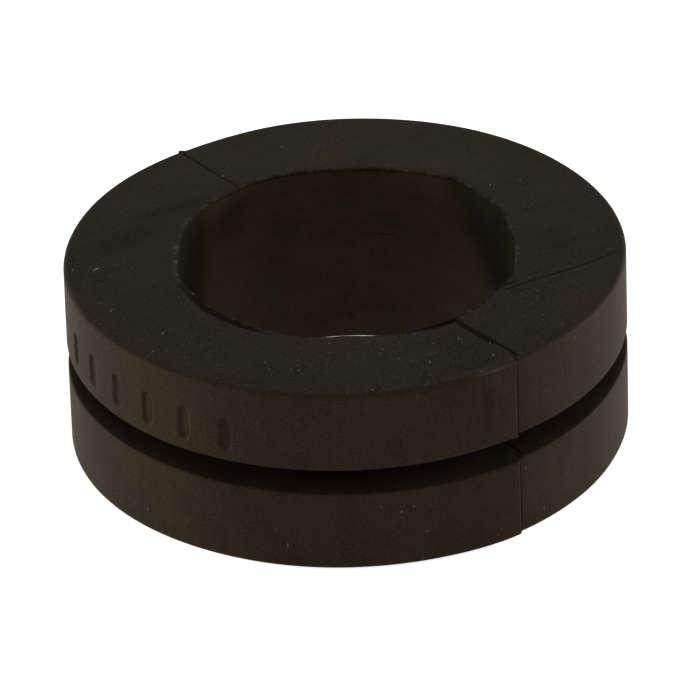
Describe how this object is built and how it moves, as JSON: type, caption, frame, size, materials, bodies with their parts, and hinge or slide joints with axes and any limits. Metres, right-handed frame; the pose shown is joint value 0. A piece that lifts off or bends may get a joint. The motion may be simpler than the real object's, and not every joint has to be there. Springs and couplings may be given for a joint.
{
  "type": "rubber grommet",
  "caption": "Round moulded rubber grommet: two thick flanges either side of a narrow panel groove, with a straight bore for a pipe or cable.",
  "frame": {"origin": "centre of the bottom face, on the axis of the bore", "axes": "+Z along the bore, from the bottom face to the top face; -Y towards the viewer of the picture, with the sunk marks on the wall at the viewer's left"},
  "size_m": [0.0402, 0.0402, 0.0142],
  "materials": {
    "rubber": "matt moulded black rubber with fine specks of dust"
  },
  "bodies": {
    "root": {"grommet": "rubber"}
  },
  "joints": []
}
